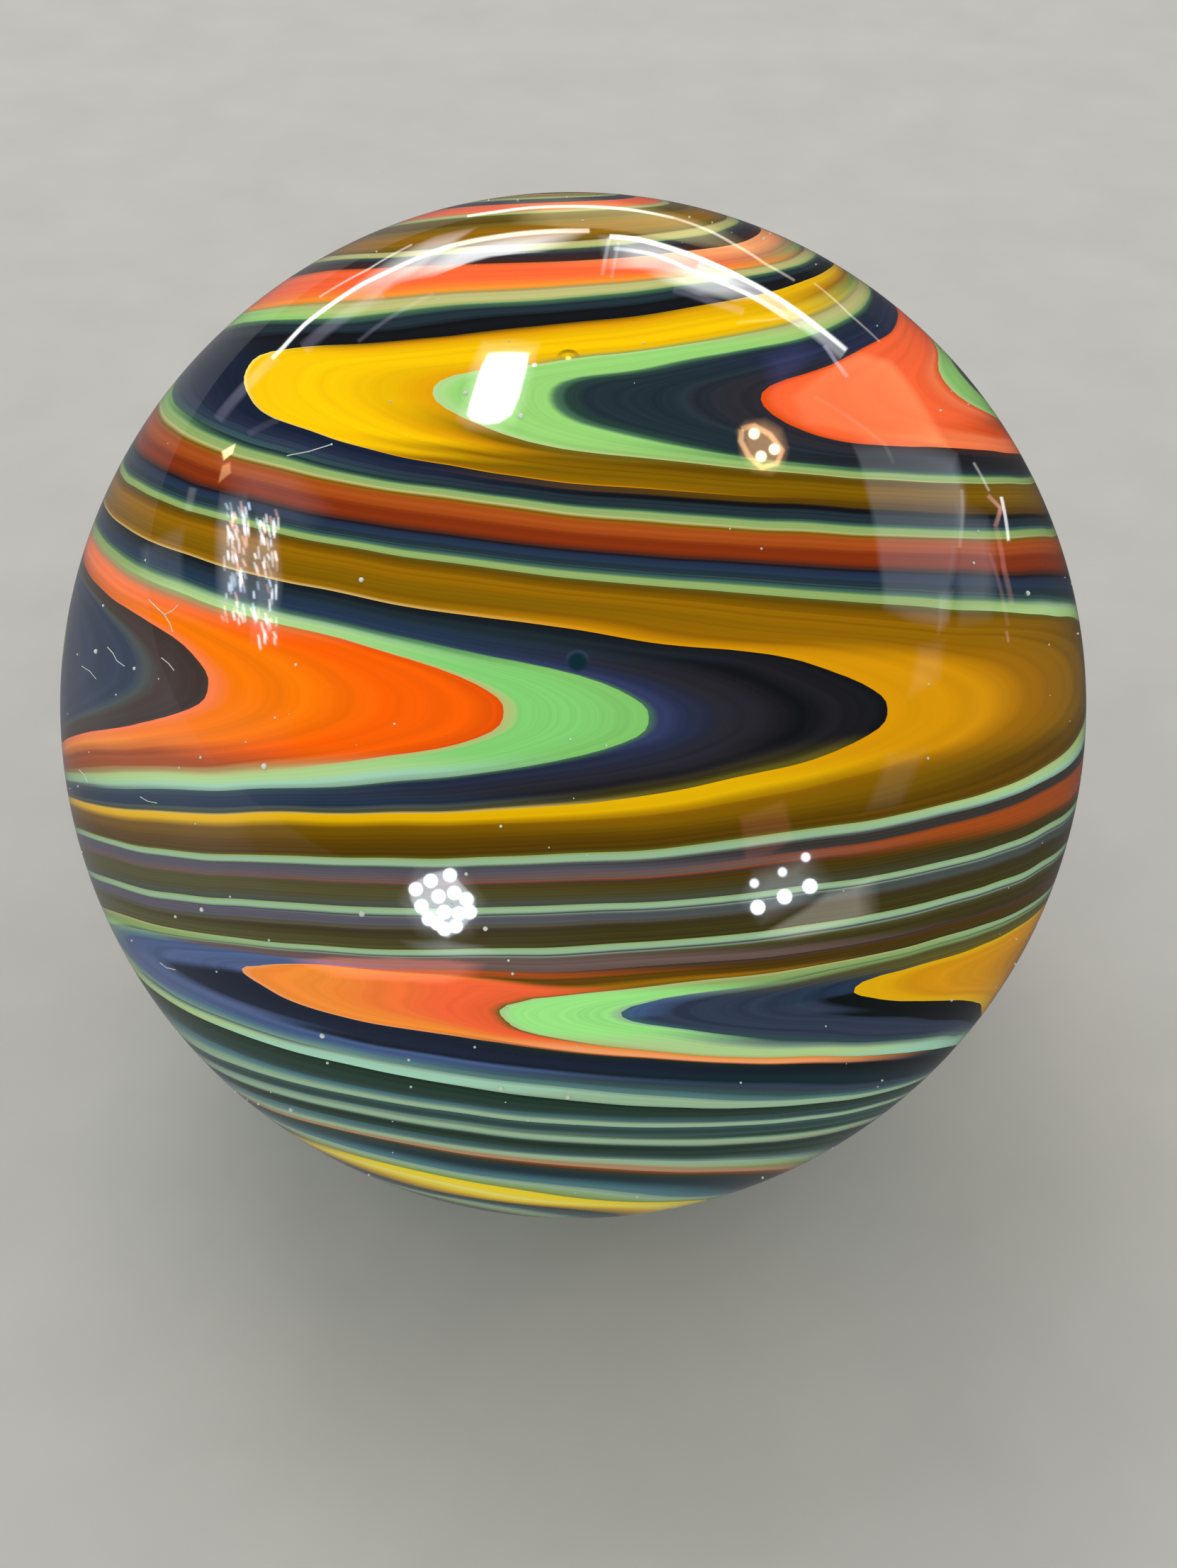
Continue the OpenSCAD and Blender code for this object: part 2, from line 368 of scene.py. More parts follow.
# How bright a strip is at its ends, and across it at shares of its width from the middle
STRIP_END = 0.6
STRIP_ACROSS = [(-0.6, 0.0), (-0.25, 1.0), (0.25, 1.0), (0.6, 0.0)]
# The corners of a round lamp's outline, and the share of its radius that is full strength
LAMP_CORNERS, LAMP_CORE = 12, 0.6
# The soft lamp overhead: the pixel where it would be mirrored, its distance and its width in metres
KEY_PIXEL, KEY_DISTANCE, KEY_WIDTH = (708, 542), 0.6, 0.35

# Specks that show best on the ball, and lint, in the photograph's pixels
SPECKS = [
    (136, 919), (190, 943), (164, 980), (253, 1083), (373, 1081), (325, 1265), (248, 1293), (285, 1283),
    (276, 1162), (511, 1289), (658, 1233), (685, 1310), (510, 818), (670, 1477), (707, 1535), (801, 1547),
    (455, 1461), (577, 1495), (411, 1565), (580, 1533), (1380, 750), (1450, 837), (468, 627), (735, 587),
    (657, 555), (803, 532),
]
LINT = [
    [(405, 643), (436, 637), (468, 627)],
    [(210, 846), (222, 858), (232, 867), (240, 880), (244, 892)],
    [(232, 867), (243, 862), (252, 853)],
    [(152, 913), (160, 922), (165, 932), (176, 940)],
    [(228, 928), (238, 936), (246, 946)],
    [(116, 940), (127, 947), (136, 958)],
    [(112, 1086), (119, 1093), (124, 1104)],
    [(198, 1124), (208, 1130), (222, 1133)],
    [(226, 1358), (235, 1365), (248, 1368)],
]
# The smallest speck against the largest, how finely a speck is rounded, and the sides of a fibre
SMALLEST_SPECK, SPECK_ROUNDING, FIBRE_SIDES = 0.3, 2, 6

# Finishes: mottles to a metre, how fine they go, roughness, and how the floor's dark mottles compare
DUST_MOTTLES, DUST_DETAIL, DUST_ROUGHNESS = 900.0, 2.0, 0.9
FLOOR_MOTTLES, FLOOR_DETAIL, FLOOR_ROUGHNESS, FLOOR_SHADE = 160.0, 8.0, 0.8, 0.85
WHITE = (1.0, 1.0, 1.0, 1.0)
GLASS_IOR = 1.5
# How often the bands' edges waver, how fast streaks change across a rod and along it, and how fine they go
WAVER_RATE = 4.0
STREAKS_TO_A_ROD, STREAK_DRIFT, STREAK_DETAIL, STREAK_ROUGHNESS = 9.0, 0.012, 4.0, 0.65
# Glass this dark has the dark rods' streaks, and glass this light has the light rods'
DARK_GLASS, LIGHT_GLASS = 0.03, 0.35
# Most of a noise lies between these values
NOISE_LOW, NOISE_HIGH = 0.25, 0.75
# In a bubble's radii: where its painted rim fades outwards and inwards, how far up it sets in, and its
# painted core's fade
RIM_OUTSIDE, RIM_INSIDE, RIM_RISE = (1.05, 0.9), (0.45, 0.7), (-0.1, 0.4)
CORE_OUTSIDE, CORE_INSIDE = 1.2, 0.7

# Degrees in a full turn, and the level at the top of the ball
FULL_TURN, TOP_LEVEL = 360.0, 90.0
# The floor's half width, and what the camera takes in, in metres
FLOOR_HALF = 2.5
NEAREST, FARTHEST = 0.005, 20.0
# The gap left round each side of the ball in its map
MAP_MARGIN = 0.004


def hue(name, description, red, green, blue):
    """A colour that a user may change, as it looks on a screen."""
    return bpy.props.FloatVectorProperty(
        name=name, description=description, default=(red / 255, green / 255, blue / 255),
        min=0.0, max=1.0, size=3, subtype="COLOR_GAMMA",
    )


def size(name, description, default):
    """A length in metres that a user may change."""
    return bpy.props.FloatProperty(
        name=name, description=description, default=default, min=0.0, precision=5, unit="LENGTH",
    )


def angle(name, description, degrees):
    """An angle that a user may change."""
    return bpy.props.FloatProperty(
        name=name, description=description, default=math.radians(degrees), subtype="ANGLE",
    )


def amount(name, description, default, low, high):
    """A plain number that a user may change."""
    return bpy.props.FloatProperty(name=name, description=description, default=default, min=low, max=high)


def count(name, description, default):
    """A whole number that a user may change."""
    return bpy.props.IntProperty(name=name, description=description, default=default, min=0)


class MarbleBall(bpy.types.PropertyGroup):
    """Sizes of the ball and the lie of its bands."""
    diameter: size("Diameter", "Diameter of the ball", 2 * BALL_RADIUS)
    cells: count("Cells", "Faces along each edge of the cube that is rounded into the ball", 96)
    wave_height: size("Wave height", "How far the fire-polished skin swells and dips", 0.02 * MM)
    wave_length: size("Wave length", "Distance from one swell of the skin to the next", 9 * MM)
    sit: angle("Sit", "How far the axis of the bands lies back from upright", 28.1)
    sit_roll: angle("Sit roll", "How far the axis of the bands leans to the right", 1.24)
    waver: angle("Waver", "How far the edges of the bands stray", 0.25)
    dark_streaks: amount("Dark streaks", "Contrast of the fine streaks along the dark rods", 0.28, 0.0, 1.0)
    light_streaks: amount(
        "Light streaks", "Contrast of the fine streaks along the light rods", 0.1, 0.0, 1.0)
    roughness: amount("Roughness", "Roughness of the fire-polished skin", 0.03, 0.0, 1.0)


class MarblePalette(bpy.types.PropertyGroup):
    """Colours of the glass rods, thick in the bends and thin in the runs."""
    black: hue("Black", "Dark spike at the low bends", 8, 14, 16)
    jet: hue("Jet", "Dark edge of the navy glass", 18, 20, 24)
    ink: hue("Ink", "Blue-black core near the foot", 22, 32, 52)
    soot: hue("Soot", "Neutral side of the navy glass", 32, 31, 36)
    graphite: hue("Graphite", "Lighter neutral side of the navy glass", 42, 41, 48)
    petrol: hue("Petrol", "Navy glass next to green", 34, 48, 56)
    midnight: hue("Midnight", "Navy glass turning blue", 36, 44, 68)
    twilight: hue("Twilight", "Blue blur between green and navy", 56, 64, 104)
    naval: hue("Naval", "Navy glass in a long run", 36, 54, 76)
    slate: hue("Slate", "Blue-grey glass", 48, 60, 80)
    steel: hue("Steel", "Pale blue-grey glass", 84, 102, 144)
    denim: hue("Denim", "Blue glass near the foot", 72, 96, 140)
    lagoon: hue("Lagoon", "Blue-green glass near the foot", 64, 112, 122)
    sea: hue("Sea", "Pale blue-green glass", 92, 134, 136)
    abyss: hue("Abyss", "Deep blue-green glass near the foot", 12, 44, 52)
    teal: hue("Teal", "Green that bleeds into navy", 58, 88, 88)
    pine: hue("Pine", "Deep green thread near the foot", 22, 46, 30)
    spruce: hue("Spruce", "Green thread near the foot", 40, 66, 56)
    cocoa: hue("Cocoa", "Brown rim of the eye", 68, 54, 48)
    mauve: hue("Mauve", "Pink-grey thread", 110, 90, 84)
    dusk: hue("Dusk", "Blue-grey thread", 92, 88, 102)
    smoke: hue("Smoke", "Dark thread", 60, 56, 52)
    pewter: hue("Pewter", "Grey-green thread", 74, 82, 78)
    fern: hue("Fern", "Dull green against navy", 74, 114, 86)
    moss: hue("Moss", "Yellow-green against a warm colour", 134, 152, 70)
    sage: hue("Sage", "Green glass in a long run", 146, 174, 104)
    leaf: hue("Leaf", "Side of the green glass", 130, 200, 106)
    mint: hue("Mint", "Body of the green glass", 132, 212, 116)
    apple: hue("Apple", "Green glass in the high bend", 152, 212, 116)
    lime: hue("Lime", "Green glass in the low bend", 162, 242, 138)
    pistachio: hue("Pistachio", "Pale green glass", 180, 216, 146)
    celadon: hue("Celadon", "Green glass drawn to a thread", 156, 190, 152)
    frost: hue("Frost", "Palest green glass near the foot", 166, 216, 188)
    mist: hue("Mist", "Grey-green edge", 138, 166, 144)
    straw: hue("Straw", "Yellow-green edge", 190, 188, 122)
    peach: hue("Peach", "Pale rim of the orange glass", 254, 168, 110)
    apricot: hue("Apricot", "Light orange glass", 255, 146, 50)
    tangerine: hue("Tangerine", "Bright side of the orange glass", 255, 124, 4)
    orange: hue("Orange", "Body of the orange glass", 255, 98, 2)
    flame: hue("Flame", "Red side of the orange glass", 228, 78, 6)
    coral: hue("Coral", "Pink side of the orange glass", 255, 128, 76)
    salmon: hue("Salmon", "Red-orange glass in the bends", 255, 104, 54)
    rust: hue("Rust", "Orange glass in a long run", 168, 78, 24)
    brick: hue("Brick", "Dark side of the orange run", 132, 48, 12)
    maroon: hue("Maroon", "Orange glass against navy", 70, 36, 28)
    tan: hue("Tan", "Orange glass against green", 178, 142, 104)
    lemon: hue("Lemon", "Yellow glass near the foot", 255, 226, 8)
    primrose: hue("Primrose", "Pale core of the yellow glass", 254, 240, 110)
    sun: hue("Sun", "Bright yellow glass", 255, 202, 2)
    gold: hue("Gold", "Yellow glass at its side", 236, 184, 2)
    honey: hue("Honey", "Amber glass in the bend", 224, 154, 4)
    caramel: hue("Caramel", "Deeper amber glass", 168, 112, 2)
    toffee: hue("Toffee", "Amber glass in a long run", 148, 102, 2)
    bronze: hue("Bronze", "Dim amber glass", 126, 92, 2)
    umber: hue("Umber", "Dark amber glass", 98, 68, 2)
    bark: hue("Bark", "Darkest amber glass", 80, 56, 6)
    olive: hue("Olive", "Amber glass against green", 106, 96, 28)
    khaki: hue("Khaki", "Dark olive thread", 64, 58, 24)
    drab: hue("Drab", "Olive thread", 84, 82, 46)
    cream: hue("Cream", "Fine pale line between amber and navy", 224, 192, 110)
    # Pearl is also the painted glint in the core of the third bubble
    pearl: hue("Pearl", "Light caught in a bubble, dust and lint", 240, 240, 232)


class MarbleDust(bpy.types.PropertyGroup):
    """Specks and lint that lie on the ball."""
    specks: count("Specks", "Number of fine specks all over the ball", 260)
    fine_size: size("Fine speck size", "Diameter of the largest fine speck", 0.1 * MM)
    coarse_size: size("Coarse speck size", "Diameter of the largest speck", 0.2 * MM)
    seed: count("Seed", "Seed of the specks' places", 7)
    lint_width: size("Lint width", "Thickness of a lint fibre", 0.035 * MM)


class MarbleStage(bpy.types.PropertyGroup):
    """Camera, lamps and floor."""
    camera_rise: angle("Camera rise", "Height of the camera above the horizon", 42)
    camera_distance: amount(
        "Camera distance", "Distance from the ball's centre, in ball radii", 4.0, 2.0, 20.0)
    floor_colour: hue("Floor", "Colour of the plain floor", 188, 186, 181)
    sky: amount("Sky", "Strength of the even light from all round", 0.95, 0.0, 2.0)
    bounce: amount("Bounce", "Strength of the light that the floor throws back on the ball", 0.8, 0.0, 2.0)
    room: amount("Room", "Brightness of the room that the ball mirrors", 0.04, 0.0, 2.0)
    floor_left: amount(
        "Mirrored floor, left", "Brightness of the floor mirrored on the ball's left", 0.2, 0.0, 2.0)
    # The floor mirrored on the ball's right is dimmed as a painted shadow
    floor_right_shadowed: amount(
        "Mirrored floor, right", "Brightness of the floor mirrored on the ball's right", 0.06, 0.0, 2.0)
    floor_spread: size(
        "Mirrored floor spread", "Distance to either side over which the mirrored floor dims", 40 * MM)
    key: amount("Key", "Strength of the soft lamp overhead", 0.06, 0.0, 5.0)


def linear(colour):
    """A screen colour as the shader wants it, with full alpha."""
    return (*Color(colour).from_srgb_to_scene_linear(), 1.0)


def link_or_set(tree, socket, value):
    """Feeds an input from another node's output, or sets it to a plain value."""
    if isinstance(value, bpy.types.NodeSocket):
        tree.links.new(value, socket)
    else:
        socket.default_value = value


def add_node(tree, kind, inputs=None, **settings):
    """Adds a node with its settings, and links or sets its inputs by name or number."""
    made = tree.nodes.new(kind)
    for name, value in settings.items():
        setattr(made, name, value)
    for key, value in (inputs or {}).items():
        link_or_set(tree, made.inputs[key], value)
    return made


def calc(tree, operation, *values):
    """The result of one Math node."""
    return add_node(tree, "ShaderNodeMath", dict(enumerate(values)), operation=operation).outputs[0]


def vector_calc(tree, operation, *values):
    """The vector that one Vector Math node gives."""
    return add_node(tree, "ShaderNodeVectorMath", dict(enumerate(values)), operation=operation).outputs[0]


def scaled(tree, vector, factor):
    """A vector made longer or shorter."""
    made = add_node(tree, "ShaderNodeVectorMath", {0: vector, "Scale": factor}, operation="SCALE")
    return made.outputs[0]


def rotated(tree, vector, axis, turn):
    """A vector turned about an axis through the origin."""
    inputs = {0: vector, "Angle": turn}
    made = add_node(tree, "ShaderNodeVectorRotate", inputs, rotation_type=f"{axis}_AXIS")
    return made.outputs[0]


def parts_of(tree, vector):
    """The X, Y and Z of a vector, as outputs of one node."""
    return add_node(tree, "ShaderNodeSeparateXYZ", {0: vector}).outputs


def soft_noise(tree, place, scale, detail):
    """A noise that varies softly about one half."""
    inputs = {"Vector": place, "Scale": scale, "Detail": detail}
    return add_node(tree, "ShaderNodeTexNoise", inputs).outputs[0]


def ranged(tree, value, start, end, low=0.0, high=1.0, smooth=False, clamp=True):
    """A value carried from one range to another."""
    inputs = {0: value, 1: start, 2: end, 3: low, 4: high}
    kind = "SMOOTHSTEP" if smooth else "LINEAR"
    made = add_node(tree, "ShaderNodeMapRange", inputs, interpolation_type=kind, clamp=clamp)
    return made.outputs[0]


def blend(tree, factor, first, second):
    """Two numbers mixed."""
    made = add_node(tree, "ShaderNodeMix", {0: factor, 2: first, 3: second}, data_type="FLOAT")
    return made.outputs[0]


def blend_colours(tree, factor, first, second, mode="MIX"):
    """Two colours mixed."""
    inputs = {0: factor, 6: first, 7: second}
    made = add_node(tree, "ShaderNodeMix", inputs, data_type="RGBA", blend_type=mode)
    return made.outputs[2]


def curve_node(tree, value, points, low, high, handle):
    """A curve through (0 to 1, value) points, with values between low and high."""
    made = add_node(tree, "ShaderNodeFloatCurve", {1: value})
    curve = made.mapping.curves[0]
    ordered = sorted((place, (height - low) / (high - low)) for place, height in points)
    for place, height in ordered[1:-1]:
        curve.points.new(place, height)
    curve.points[0].location = ordered[0]
    curve.points[-1].location = ordered[-1]
    for point in curve.points:
        point.handle_type = handle
    made.mapping.update()
    return ranged(tree, made.outputs[0], 0.0, 1.0, low, high, clamp=False)


def level_curve(tree, level, points, low, high, handle="AUTO_CLAMPED"):
    """A value read from a curve by level."""
    along = ranged(tree, level, -TOP_LEVEL, TOP_LEVEL)
    placed = [((at + TOP_LEVEL) / (2 * TOP_LEVEL), value) for at, value in points]
    return curve_node(tree, along, placed, low, high, handle)


def ramp_node(tree, label, value, stops, palette):
    """A labelled colour ramp through named colours."""
    made = add_node(tree, "ShaderNodeValToRGB", {0: value}, label=label)
    elements = made.color_ramp.elements
    while len(elements) < len(stops):
        elements.new(0.5)
    for element, (place, name) in zip(elements, stops):
        element.position = place
        element.color = linear(getattr(palette, name))
    return made.outputs[0]


def new_material(name):
    """A new material, its tree, its shader and the place on a piece."""
    material = bpy.data.materials.new(name)
    material.use_nodes = True
    tree = material.node_tree
    place = add_node(tree, "ShaderNodeTexCoord").outputs["Object"]
    return material, tree, tree.nodes["Principled BSDF"], place


def add_object(name, data):
    """A new object in the scene."""
    made = bpy.data.objects.new(name, data)
    bpy.context.scene.collection.objects.link(made)
    return made


def new_group(name, inputs, outputs):
    """An empty shader group with its sockets, and its input and output nodes."""
    tree = bpy.data.node_groups.new(name, "ShaderNodeTree")
    for title, kind in inputs:
        tree.interface.new_socket(title, in_out="INPUT", socket_type=f"NodeSocket{kind}")
    for title, kind in outputs:
        tree.interface.new_socket(title, in_out="OUTPUT", socket_type=f"NodeSocket{kind}")
    return tree, tree.nodes.new("NodeGroupInput").outputs, tree.nodes.new("NodeGroupOutput").inputs


def use_group(tree, group, inputs):
    """Places a group in a tree with its inputs."""
    made = tree.nodes.new("ShaderNodeGroup")
    made.node_tree = group
    for key, value in inputs.items():
        link_or_set(tree, made.inputs[key], value)
    return made.outputs


def drag_group():
    """Moves the bands near one place, as a touch of the tool drags soft glass."""
    numbers = ("At turn", "At level", "Reach in turn", "Reach in level", "Drag in turn", "Drag in level")
    inputs = [(title, "Float") for title in ("Turn", "Level", *numbers)]
    tree, given, put = new_group("Drag", inputs, [("Turn", "Float"), ("Level", "Float")])
    aside = calc(tree, "SUBTRACT", given["Turn"], given["At turn"])
    aside = calc(tree, "DIVIDE", aside, given["Reach in turn"])
    above = calc(tree, "SUBTRACT", given["Level"], given["At level"])
    above = calc(tree, "DIVIDE", above, given["Reach in level"])
    away = calc(tree, "ADD", calc(tree, "MULTIPLY", aside, aside), calc(tree, "MULTIPLY", above, above))
    share = calc(tree, "EXPONENT", calc(tree, "MULTIPLY", away, -1.0))
    tree.links.new(calc(tree, "MULTIPLY_ADD", share, given["Drag in turn"], given["Turn"]), put["Turn"])
    tree.links.new(calc(tree, "MULTIPLY_ADD", share, given["Drag in level"], given["Level"]), put["Level"])
    return tree, numbers


def levels_group(ball):
    """Level and turn of a place on the ball, about an axis that leans and rolls from top to foot."""
    tree, given, put = new_group(
        "Band levels", [("Place", "Vector")], [("Level", "Float"), ("Turn", "Float")])
    upright = rotated(tree, given["Place"], "Y", -ball.sit_roll)
    unit = vector_calc(tree, "NORMALIZE", rotated(tree, upright, "X", ball.sit))
    first_level = calc(tree, "DEGREES", calc(tree, "ARCSINE", parts_of(tree, unit)["Z"]))
    lean = level_curve(tree, first_level, LEAN_POINTS, LEAN_LOW, LEAN_HIGH, "VECTOR")
    roll = level_curve(tree, first_level, ROLL_POINTS, ROLL_LOW, ROLL_HIGH, "VECTOR")
    leaned = rotated(tree, unit, "X", calc(tree, "RADIANS", lean))
    leaned = rotated(tree, leaned, "Y", calc(tree, "RADIANS", roll))
    parts = parts_of(tree, leaned)
    level = calc(tree, "DEGREES", calc(tree, "ARCSINE", parts["Z"]))
    towards = calc(tree, "MULTIPLY", parts["Y"], -1.0)
    turn = calc(tree, "DEGREES", calc(tree, "ARCTAN2", parts["X"], towards))
    noise = soft_noise(tree, unit, WAVER_RATE, 1.0)
    waver = math.degrees(ball.waver)
    stray = ranged(tree, noise, NOISE_LOW, NOISE_HIGH, -waver, waver, clamp=False)
    level = calc(tree, "ADD", level, stray)
    drag, numbers = drag_group()
    for values in DRAGS:
        inputs = {"Turn": turn, "Level": level, **dict(zip(numbers, values))}
        moved = use_group(tree, drag, inputs)
        turn, level = moved["Turn"], moved["Level"]
    tree.links.new(level, put["Level"])
    tree.links.new(turn, put["Turn"])
    return tree


def rod_counts(tree, share, column):
    """The number of rods passed at a share of the way round, for one column of widths."""
    edges = [(0.0, 0.0)]
    for rod in RODS:
        edges.append((edges[-1][0] + rod[column] / FULL_TURN, edges[-1][1] + 1 / len(RODS)))
    return curve_node(tree, share, edges, 0.0, 1.0, "VECTOR")


def rods_group():
    """Which rod a place lies on, and how far across it."""
    tree, given, put = new_group(
        "Rods", [("Level", "Float"), ("Turn", "Float")],
        [("Rod", "Float"), ("Across", "Float"), ("Count", "Float")])
    twist = level_curve(tree, given["Level"], TWIST_POINTS, TWIST_LOW, TWIST_HIGH)
    untwisted = calc(tree, "SUBTRACT", given["Turn"], twist)
    share = calc(tree, "SUBTRACT", untwisted, FIRST_ROD_TURN)
    share = calc(tree, "DIVIDE", calc(tree, "FLOORED_MODULO", share, FULL_TURN), FULL_TURN)
    near_top = ranged(tree, given["Level"], TOP_WIDTHS_FROM, TOP_WIDTHS_FULL, smooth=True)
    near_foot = ranged(tree, given["Level"], FOOT_WIDTHS_FROM, FOOT_WIDTHS_FULL, smooth=True)
    middle = rod_counts(tree, share, MIDDLE_WIDTH)
    passed = blend(tree, near_top, middle, rod_counts(tree, share, TOP_WIDTH))
    passed = blend(tree, near_foot, passed, rod_counts(tree, share, FOOT_WIDTH))
    passed = calc(tree, "MULTIPLY", passed, float(len(RODS)))
    tree.links.new(calc(tree, "FLOOR", passed), put["Rod"])
    tree.links.new(calc(tree, "FRACT", passed), put["Across"])
    tree.links.new(passed, put["Count"])
    return tree


def streaks_group():
    """Fine streaks that run along the rods, as a value about one half."""
    tree, given, put = new_group(
        "Streaks", [("Count", "Float"), ("Level", "Float")], [("Streak", "Float")])
    along = calc(tree, "MULTIPLY", given["Level"], STREAK_DRIFT)
    across = calc(tree, "MULTIPLY", given["Count"], STREAKS_TO_A_ROD)
    place = add_node(tree, "ShaderNodeCombineXYZ", {"X": across, "Y": along}).outputs[0]
    noise = add_node(tree, "ShaderNodeTexNoise", {
        "Vector": place, "Scale": 1.0, "Detail": STREAK_DETAIL, "Roughness": STREAK_ROUGHNESS},
        noise_dimensions="2D")
    tree.links.new(noise.outputs[0], put["Streak"])
    return tree


def glass_group(name, palette):
    """The colour of one glass across a rod, by level."""
    tree, given, put = new_group(
        f"{name.title()} glass", [("Across", "Float"), ("Level", "Float")], [("Colour", "Color")])
    colour, last_end = None, None
    for stretch, start, end, stops in GLASSES[name]:
        here = ramp_node(tree, stretch, given["Across"], stops, palette)
        if colour is None:
            colour = here
        else:
            reached = ranged(tree, given["Level"], float(last_end), float(start), smooth=True)
            colour = blend_colours(tree, reached, colour, here)
        last_end = end
    tree.links.new(colour, put["Colour"])
    return tree


def bubble_group():
    """A bubble near the skin in painted light and shade: a rim painted over its upper side and a core
    painted as a glint, light or dark.
    """
    tree, given, put = new_group(
        "Bubble", [("Place", "Vector"), ("Centre", "Vector"), ("Radius", "Float"), ("Core share", "Float")],
        [("Rim", "Float"), ("Core", "Float")])
    apart = vector_calc(tree, "SUBTRACT", given["Place"], given["Centre"])
    away = add_node(tree, "ShaderNodeVectorMath", {0: apart}, operation="LENGTH").outputs["Value"]
    away = calc(tree, "DIVIDE", away, given["Radius"])
    above = calc(tree, "DIVIDE", parts_of(tree, apart)["Z"], given["Radius"])
    outwards = ranged(tree, away, *RIM_OUTSIDE, smooth=True)
    inwards = ranged(tree, away, *RIM_INSIDE, smooth=True)
    upper = ranged(tree, above, *RIM_RISE, smooth=True)
    ring = calc(tree, "MULTIPLY", outwards, inwards)
    tree.links.new(calc(tree, "MULTIPLY", ring, upper), put["Rim"])
    beyond = calc(tree, "MULTIPLY", given["Core share"], CORE_OUTSIDE)
    inside = calc(tree, "MULTIPLY", given["Core share"], CORE_INSIDE)
    tree.links.new(ranged(tree, away, beyond, inside, smooth=True), put["Core"])
    return tree


def banded_glass(ball, palette, stage):
    """Fire-polished opaque glass: rods side by side, drawn out thin between the bends."""
    material, tree, shader, place = new_material("banded_glass")
    lie = use_group(tree, levels_group(ball), {"Place": place})
    rods = use_group(tree, rods_group(), {"Level": lie["Level"], "Turn": lie["Turn"]})
    glass = {}
    for name in GLASSES:
        inputs = {"Across": rods["Across"], "Level": lie["Level"]}
        glass[name] = use_group(tree, glass_group(name, palette), inputs)["Colour"]
    colour = glass["slate"]
    tolerance = 0.25
    for name in list(GLASSES)[1:]:
        here = 0.0
        for number, rod in enumerate(RODS):
            if rod[0] == name:
                same = calc(tree, "COMPARE", rods["Rod"], float(number), tolerance)
                here = calc(tree, "ADD", here, same)
        colour = blend_colours(tree, here, colour, glass[name])
    inputs = {"Count": rods["Count"], "Level": lie["Level"]}
    streak = use_group(tree, streaks_group(), inputs)["Streak"]
    brightness = add_node(tree, "ShaderNodeRGBToBW", {0: colour}).outputs[0]
    depth = ranged(tree, brightness, DARK_GLASS, LIGHT_GLASS, ball.dark_streaks, ball.light_streaks)
    swing = ranged(tree, streak, NOISE_LOW, NOISE_HIGH, -1.0, 1.0, clamp=False)
    shade = calc(tree, "MULTIPLY_ADD", swing, depth, 1.0)
    grey = add_node(tree, "ShaderNodeCombineColor", {0: shade, 1: shade, 2: shade}).outputs[0]
    colour = blend_colours(tree, 1.0, colour, grey, "MULTIPLY")
    # Bubbles, painted: a rim of painted shade over the upper side and a painted glint in the core
    bubble = bubble_group()
    for pixel, radius, rim, core, share in BUBBLES:
        seen = use_group(tree, bubble, {
            "Place": place, "Centre": seen_at(stage, pixel), "Radius": pixels_on_ball(stage, radius),
            "Core share": share})
        colour = blend_colours(tree, seen["Rim"], colour, linear(getattr(palette, rim)))
        colour = blend_colours(tree, seen["Core"], colour, linear(getattr(palette, core)))
    tree.links.new(colour, shader.inputs["Base Color"])
    shader.inputs["Roughness"].default_value = ball.roughness
    shader.inputs["IOR"].default_value = GLASS_IOR
    return material


def new_geometry_tree(name, inputs):
    """An empty geometry tree, its input sockets' identifiers, its inputs and its output."""
    tree = bpy.data.node_groups.new(name, "GeometryNodeTree")
    sockets = {}
    for title, kind in inputs:
        made = tree.interface.new_socket(title, in_out="INPUT", socket_type=f"NodeSocket{kind}")
        sockets[title] = made.identifier
    tree.interface.new_socket("Geometry", in_out="OUTPUT", socket_type="NodeSocketGeometry")
    given = tree.nodes.new("NodeGroupInput").outputs
    put = tree.nodes.new("NodeGroupOutput").inputs[0]
    return tree, sockets, given, put


def finish_tree(tree, geometry, material, put):
    """Ends a geometry tree: real geometry with its material."""
    real = add_node(tree, "GeometryNodeRealizeInstances", {"Geometry": geometry}).outputs[0]
    smooth = add_node(tree, "GeometryNodeSetShadeSmooth", {"Geometry": real}).outputs[0]
    coated = add_node(tree, "GeometryNodeSetMaterial", {"Geometry": smooth, "Material": material})
    tree.links.new(coated.outputs[0], put)


def ball_nodes(material):
    """A cube rounded into an even ball whose skin swells a little, as fire-polished glass does."""
    tree, sockets, given, put = new_geometry_tree("Rounded ball", [
        ("Diameter", "Float"), ("Cells", "Int"), ("Wave height", "Float"), ("Wave length", "Float")])
    corners = calc(tree, "ADD", given["Cells"], 1.0)
    cube = add_node(tree, "GeometryNodeMeshCube", {
        "Size": (2.0, 2.0, 2.0), "Vertices X": corners, "Vertices Y": corners, "Vertices Z": corners})
    position = add_node(tree, "GeometryNodeInputPosition").outputs[0]
    even = vector_calc(tree, "TANGENT", scaled(tree, position, math.pi / 4))
    unit = vector_calc(tree, "NORMALIZE", even)
    radius = calc(tree, "MULTIPLY", given["Diameter"], 0.5)
    waves = calc(tree, "DIVIDE", radius, given["Wave length"])
    swell = soft_noise(tree, unit, waves, 0.0)
    dip = calc(tree, "MULTIPLY", calc(tree, "SUBTRACT", swell, 0.5), given["Wave height"])
    place = scaled(tree, unit, calc(tree, "ADD", radius, dip))
    moved = add_node(tree, "GeometryNodeSetPosition", {"Geometry": cube.outputs["Mesh"], "Position": place})
    finish_tree(tree, moved.outputs[0], material, put)
    return tree, sockets


